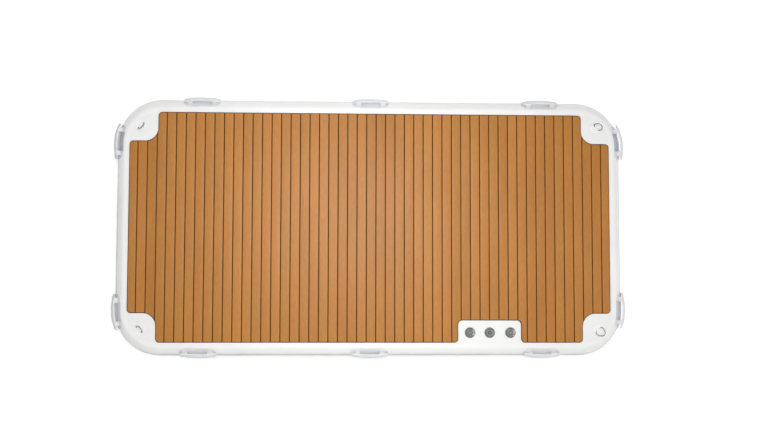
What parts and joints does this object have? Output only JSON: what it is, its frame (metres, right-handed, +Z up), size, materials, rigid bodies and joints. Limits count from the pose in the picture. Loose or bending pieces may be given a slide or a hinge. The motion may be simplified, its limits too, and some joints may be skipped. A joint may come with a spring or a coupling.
{
  "type": "inflatable dock platform",
  "caption": "Flat rectangular air-filled platform with a planked foam deck, moulded grab handles round the wall, folding corner rings and screw-capped valves.",
  "frame": {"origin": "middle of the underside, on the plane that the platform rests on", "axes": "+X along the long side, +Y towards the long side away from the valves, +Z up"},
  "size_m": [3.1015, 1.5676, 0.1975],
  "materials": {
    "hull_fabric": "satin",
    "wall_fabric": "satin",
    "seam_tape": "satin",
    "yarn": "matte",
    "foam_dark": "matte",
    "foam_brown": "matte",
    "handle": "satin",
    "patch": "satin",
    "steel": "polished",
    "valve": "satin",
    "seal": "matte",
    "spring": "satin",
    "stem": "satin"
  },
  "bodies": {
    "hull": {"top_skin": "hull_fabric", "bottom_skin": "hull_fabric", "side_wall": "wall_fabric", "upper_seam_tape": "seam_tape", "lower_seam_tape": "seam_tape", "drop_stitch_yarn": "yarn", "deck_base_layer": "foam_dark", "deck_top_layer": "foam_brown", "handle_back_left": "handle", "handle_back_middle": "handle", "handle_back_right": "handle", "handle_front_left": "handle", "handle_front_middle": "handle", "handle_front_right": "handle", "handle_left_back": "handle", "handle_left_front": "handle", "handle_right_back": "handle", "handle_right_front": "handle", "d_ring_patch_ne": "patch", "d_ring_strap_ne": "patch", "d_ring_patch_nw": "patch", "d_ring_strap_nw": "patch", "d_ring_patch_sw": "patch", "d_ring_strap_sw": "patch", "d_ring_patch_se": "patch", "d_ring_strap_se": "patch", "valve_body_left": "valve", "valve_gasket_left": "seal", "valve_nut_left": "valve", "valve_spring_left": "spring", "valve_body_right": "valve", "valve_gasket_right": "seal", "valve_nut_right": "valve", "valve_spring_right": "spring", "relief_body": "valve", "relief_gasket": "seal", "relief_nut": "valve", "relief_cover": "valve", "relief_spring": "spring"},
    "ring_ne": {"d_ring_ne": "steel"},
    "ring_nw": {"d_ring_nw": "steel"},
    "ring_sw": {"d_ring_sw": "steel"},
    "ring_se": {"d_ring_se": "steel"},
    "cap_seal_left": {"valve_cap_seal_left": "seal"},
    "cap_left": {"valve_cap_left": "valve"},
    "disc_left": {"valve_disc_left": "seal"},
    "stem_left": {"valve_stem_left": "stem"},
    "cap_seal_right": {"valve_cap_seal_right": "seal"},
    "cap_right": {"valve_cap_right": "valve"},
    "disc_right": {"valve_disc_right": "seal"},
    "stem_right": {"valve_stem_right": "stem"},
    "poppet": {"relief_poppet": "stem"}
  },
  "joints": [
    {"name": "ring_fold_ne", "type": "hinge", "parent": "hull", "child": "ring_ne", "pos_m": [1.377, 0.6135, 0.1551], "axis": [0.7071, -0.7071, 0], "range_deg": [-70, 110]},
    {"name": "ring_fold_nw", "type": "hinge", "parent": "hull", "child": "ring_nw", "pos_m": [-1.384, 0.6065, 0.1551], "axis": [0.7071, 0.7071, 0], "range_deg": [-125, 55]},
    {"name": "ring_fold_sw", "type": "hinge", "parent": "hull", "child": "ring_sw", "pos_m": [-1.375, -0.613, 0.1551], "axis": [-0.7071, 0.7071, 0], "range_deg": [-125, 55]},
    {"name": "ring_fold_se", "type": "hinge", "parent": "hull", "child": "ring_se", "pos_m": [1.375, -0.6125, 0.1551], "axis": [-0.7071, -0.7071, 0], "range_deg": [-14, 166]},
    {"name": "cap_turn_left", "type": "hinge", "parent": "cap_seal_left", "child": "cap_left", "pos_m": [0.596, -0.629, 0.1552], "axis": [0, 0, 1], "range_deg": [0, 360]},
    {"name": "cap_lift_left", "type": "slide", "parent": "hull", "child": "cap_seal_left", "axis": [0, 0, 1], "range_m": [0, 0.0048]},
    {"name": "stem_push_left", "type": "slide", "parent": "hull", "child": "disc_left", "axis": [0, 0, -1], "range_m": [0, 0.005], "stiffness_N_per_m": 500, "springref_m": -0.004, "deforming": ["valve_spring_left"]},
    {"name": "stem_twist_left", "type": "hinge", "parent": "disc_left", "child": "stem_left", "pos_m": [0.596, -0.629, 0.147], "axis": [0, 0, -1], "range_deg": [0, 90]},
    {"name": "cap_turn_right", "type": "hinge", "parent": "cap_seal_right", "child": "cap_right", "pos_m": [0.84, -0.629, 0.1552], "axis": [0, 0, 1], "range_deg": [0, 360]},
    {"name": "cap_lift_right", "type": "slide", "parent": "hull", "child": "cap_seal_right", "axis": [0, 0, 1], "range_m": [0, 0.0048]},
    {"name": "stem_push_right", "type": "slide", "parent": "hull", "child": "disc_right", "axis": [0, 0, -1], "range_m": [0, 0.005], "stiffness_N_per_m": 500, "springref_m": -0.004, "deforming": ["valve_spring_right"]},
    {"name": "stem_twist_right", "type": "hinge", "parent": "disc_right", "child": "stem_right", "pos_m": [0.84, -0.629, 0.147], "axis": [0, 0, -1], "range_deg": [0, 90]},
    {"name": "relief_open", "type": "slide", "parent": "hull", "child": "poppet", "axis": [0, 0, 1], "range_m": [0, 0.003], "stiffness_N_per_m": 2000, "springref_m": -0.004, "deforming": ["relief_spring"]}
  ],
  "couplings": [
    {"joint": "cap_lift_left", "follows": "cap_turn_left", "m_per_rad": 0.00076394},
    {"joint": "cap_lift_right", "follows": "cap_turn_right", "m_per_rad": 0.00076394}
  ]
}
